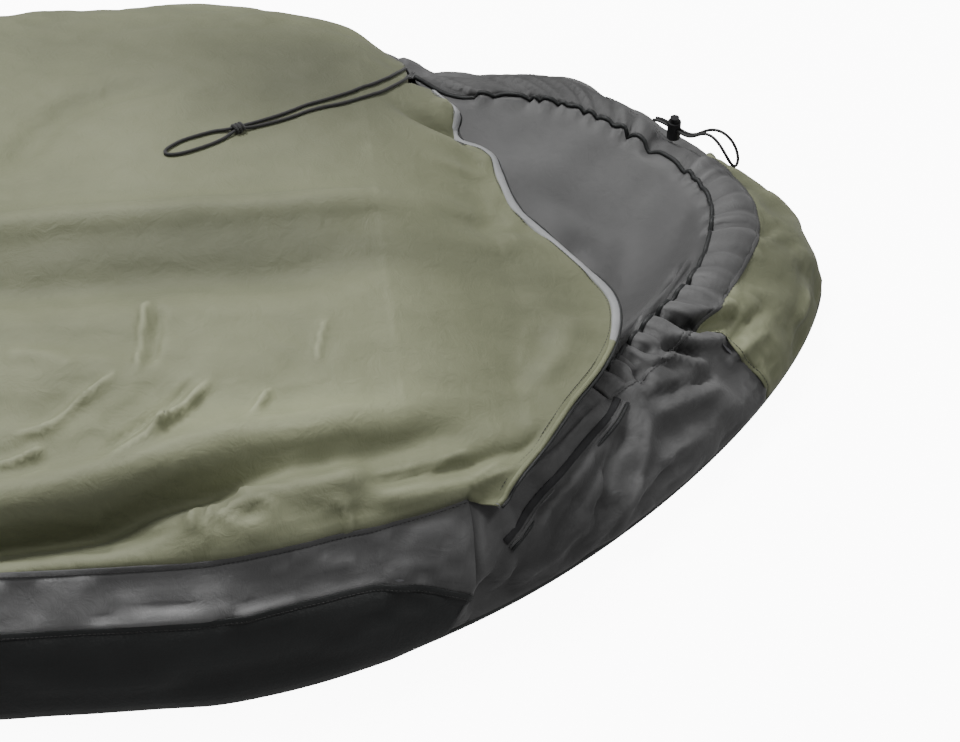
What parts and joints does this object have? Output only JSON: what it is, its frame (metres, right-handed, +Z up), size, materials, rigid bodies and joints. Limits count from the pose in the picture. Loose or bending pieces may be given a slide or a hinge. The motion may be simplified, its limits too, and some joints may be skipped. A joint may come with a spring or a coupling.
{
  "type": "bivy sack",
  "caption": "Low bivy sack with a tub floor, side gussets, an olive top, a hooked-over entry flap, and a hood with a gathered drawcord collar and cord lock.",
  "frame": {"origin": "under the middle of the floor, on the ground", "axes": "+X from the foot to the head, +Z up, -Y the sleeper's left, the side that opens"},
  "size_m": [2.2202, 0.8354, 0.2055],
  "materials": {
    "olive_shell": "matt coated nylon",
    "grey_shell": "matt coated nylon",
    "black_floor": "coated floor nylon with a slight sheen",
    "coated_lining": "pale coated inner face",
    "seam_tape": "translucent heat-sealed tape",
    "cord": "braided",
    "lock_plastic": "moulded acetal",
    "spring_steel": "bright wire",
    "hook_and_loop": "hook-and-loop tape"
  },
  "bodies": {
    "sack": {"floor_panel": "black_floor", "tub_wall_left": "black_floor", "tub_wall_right": "black_floor", "tub_wall_foot": "black_floor", "hood_hem": "black_floor", "side_gusset_left": "grey_shell", "side_gusset_right": "grey_shell", "foot_gusset": "grey_shell", "top_panel": "olive_shell", "closure_hook_strip": "hook_and_loop", "hood_side_left": "grey_shell", "hood_side_right": "grey_shell", "hood_crown": "olive_shell", "hood_collar": "grey_shell", "collar_cord_channel": "grey_shell", "collar_drawcord": "cord", "tub_seam_tape_left": "seam_tape", "tub_seam_tape_right": "seam_tape", "foot_seam_tape": "seam_tape", "top_seam_tape_left": "seam_tape", "top_seam_tape_right": "seam_tape", "crown_seam_tape_left": "seam_tape", "crown_seam_tape_right": "seam_tape", "drawcord_tail_front": "cord", "drawcord_tail_back": "cord", "tail_knot": "cord", "tail_loop": "cord", "lock_cord_loop": "cord"},
    "flap": {"entry_flap": "olive_shell", "flap_hem": "coated_lining", "flap_drawcord": "cord", "closure_loop_strip": "hook_and_loop"},
    "cord_lock": {"cord_lock_barrel": "lock_plastic", "cord_lock_spring": "spring_steel"},
    "lock_plunger": {"cord_lock_plunger": "lock_plastic"}
  },
  "joints": [
    {"name": "flap_lift", "type": "hinge", "parent": "sack", "child": "flap", "pos_m": [0.738, 0, 0.178], "axis": [0, -1, 0], "range_deg": [0, 160]},
    {"name": "cord_lock_slide", "type": "slide", "parent": "sack", "child": "cord_lock", "axis": [0.6209, -0.7839, 0], "range_m": [-0.004, 0.008]},
    {"name": "cord_lock_press", "type": "slide", "parent": "cord_lock", "child": "lock_plunger", "axis": [0, 0, -1], "range_m": [0, 0.0032], "stiffness_N_per_m": 300, "springref_m": -0.003, "deforming": ["cord_lock_spring"]}
  ]
}
